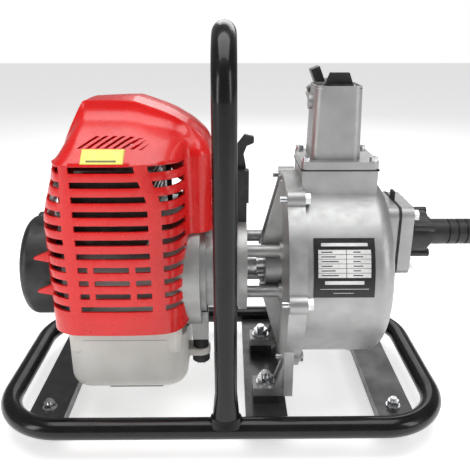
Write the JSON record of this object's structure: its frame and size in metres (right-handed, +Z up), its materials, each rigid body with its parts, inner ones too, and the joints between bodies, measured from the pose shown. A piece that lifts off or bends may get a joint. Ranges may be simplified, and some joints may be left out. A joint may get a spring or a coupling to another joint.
{
  "type": "portable water pump",
  "caption": "petrol engine coupled to a self-priming centrifugal water pump, held in a tubular carrying frame with rubber feet, red engine cowl and a screw-capped discharge tower",
  "frame": {"origin": "bottom centre of the bounding box, on the floor that the feet stand on", "axes": "+X runs along the machine from the starter to the hose tail, +Y from the muffler side to the air filter side, +Z up"},
  "size_m": [0.47, 0.2434, 0.384],
  "materials": {
    "black_steel": "gloss black powder coat",
    "plate_steel": "semi-gloss black paint",
    "rubber": "moulded black rubber",
    "zinc_steel": "zinc plated",
    "steel": "machined steel",
    "cast_aluminium": "bead-blasted die casting",
    "red_plastic": "gloss moulded",
    "black_plastic": "moulded nylon",
    "tank_plastic": "milky polyethylene",
    "muffler_steel": "heat-proof satin paint",
    "label": "blank printed plate",
    "rope": "braided nylon"
  },
  "bodies": {
    "machine": {"air_filter_cover": "black_plastic", "base_loop": "black_steel", "bearings": "steel", "carburettor": "cast_aluminium", "carry_handle": "black_steel", "clutch_housing": "cast_aluminium", "crankcase": "cast_aluminium", "cylinder": "cast_aluminium", "fan_housing": "cast_aluminium", "filter_foam": "black_plastic", "front_cowl": "red_plastic", "fuel_line": "rubber", "fuel_tank": "tank_plastic", "hose_tail": "black_plastic", "ignition_coil": "black_plastic", "label_plate": "label", "left_cross_plate": "plate_steel", "middle_cross_plate": "plate_steel", "mount_bolts": "zinc_steel", "muffler": "muffler_steel", "plug_cap": "rubber", "pump_bolts": "zinc_steel", "pump_bracket": "cast_aluminium", "pump_casing": "cast_aluminium", "pump_gaskets": "rubber", "recoil_spring": "steel", "right_cross_plate": "plate_steel", "rubber_feet": "rubber", "spark_plug": "steel", "standoff_rods": "cast_aluminium", "starter_housing": "black_plastic", "suction_flange": "cast_aluminium", "throttle_bracket": "black_plastic", "top_cowl": "red_plastic", "tower": "cast_aluminium", "volute": "cast_aluminium"},
    "crank": {"crankshaft": "steel", "flywheel": "cast_aluminium", "clutch_shoes": "steel"},
    "piston_set": {"piston": "cast_aluminium", "connecting_rod": "steel", "piston_pins": "steel"},
    "rotor": {"clutch_drum": "steel", "pump_shaft": "steel", "impeller": "cast_aluminium"},
    "throttle": {"throttle_lever": "black_plastic"},
    "choke": {"choke_lever": "black_plastic"},
    "primer": {"primer_bulb": "rubber"},
    "prime_collar": {"prime_washer": "rubber"},
    "prime_cap": {"prime_plug": "black_plastic"},
    "spout_collar": {"spout_washer": "rubber"},
    "spout_cap": {"spout_plug": "black_plastic"},
    "tank_collar": {"cap_washer": "rubber"},
    "tank_cap": {"fuel_cap": "black_plastic"},
    "union": {"union_nut": "black_plastic"},
    "flap": {"check_flap": "black_plastic"},
    "starter_pull": {"starter_grip": "black_plastic", "starter_rope": "rope"},
    "reel": {"starter_reel": "black_plastic"},
    "stop": {"stop_button": "black_plastic"}
  },
  "joints": [
    {"name": "crankshaft_spin", "type": "hinge", "parent": "machine", "child": "crank", "pos_m": [-0.11255, 0, 0.15], "axis": [1, 0, 0], "continuous": true},
    {"name": "piston_slide", "type": "slide", "parent": "machine", "child": "piston_set", "axis": [0, 0, 1], "range_m": [0, 0.034]},
    {"name": "pump_shaft_spin", "type": "hinge", "parent": "machine", "child": "rotor", "pos_m": [0.05345, 0, 0.15], "axis": [1, 0, 0], "continuous": true},
    {"name": "throttle_turn", "type": "hinge", "parent": "machine", "child": "throttle", "pos_m": [0.00545, 0.01, 0.242], "axis": [0, 1, 0], "range_deg": [0, 35]},
    {"name": "choke_turn", "type": "hinge", "parent": "machine", "child": "choke", "pos_m": [-0.07615, 0.083, 0.227], "axis": [1, 0, 0], "range_deg": [-75, 0]},
    {"name": "primer_press", "type": "slide", "parent": "machine", "child": "primer", "axis": [0, 0, 1], "range_m": [0, 0.004], "stiffness_N_per_m": 400},
    {"name": "prime_plug_lift", "type": "slide", "parent": "machine", "child": "prime_collar", "axis": [0, 0, 1], "range_m": [0, 0.0075]},
    {"name": "prime_plug_turn", "type": "hinge", "parent": "prime_collar", "child": "prime_cap", "pos_m": [0.09345, -0.004, 0.329], "axis": [0, 0, 1], "range_deg": [0, 1080]},
    {"name": "spout_plug_lift", "type": "slide", "parent": "machine", "child": "spout_collar", "axis": [-0.3746, 0, 0.9272], "range_m": [0, 0.0075]},
    {"name": "spout_plug_turn", "type": "hinge", "parent": "spout_collar", "child": "spout_cap", "pos_m": [0.08271, 0.036, 0.32369], "axis": [-0.3746, 0, 0.9272], "range_deg": [0, 1080]},
    {"name": "fuel_cap_lift", "type": "slide", "parent": "machine", "child": "tank_collar", "axis": [0, 1, 0], "range_m": [0, 0.0075]},
    {"name": "fuel_cap_turn", "type": "hinge", "parent": "tank_collar", "child": "tank_cap", "pos_m": [-0.13255, 0.07, 0.0695], "axis": [0, 1, 0], "range_deg": [0, 1080]},
    {"name": "union_nut_turn", "type": "hinge", "parent": "machine", "child": "union", "pos_m": [0.16895, 0, 0.184], "axis": [1, 0, 0], "continuous": true},
    {"name": "check_flap_swing", "type": "hinge", "parent": "machine", "child": "flap", "pos_m": [0.15305, 0, 0.201], "axis": [0, 1, 0], "range_deg": [0, 45]},
    {"name": "starter_pull_slide", "type": "slide", "parent": "machine", "child": "starter_pull", "axis": [0, 1, 0], "range_m": [0, 0.6], "deforming": ["starter_rope"]},
    {"name": "starter_reel_spin", "type": "hinge", "parent": "machine", "child": "reel", "pos_m": [-0.19705, 0, 0.15], "axis": [1, 0, 0], "range_deg": [-1202.8, 0]},
    {"name": "stop_press", "type": "slide", "parent": "machine", "child": "stop", "axis": [0, -1, 0], "range_m": [0, 0.003], "stiffness_N_per_m": 300}
  ],
  "couplings": [
    {"joint": "prime_plug_turn", "follows": "prime_plug_lift", "rad_per_m": 2513.3},
    {"joint": "spout_plug_turn", "follows": "spout_plug_lift", "rad_per_m": 2513.3},
    {"joint": "fuel_cap_turn", "follows": "fuel_cap_lift", "rad_per_m": 2513.3},
    {"joint": "starter_reel_spin", "follows": "starter_pull_slide", "rad_per_m": -34.843}
  ]
}
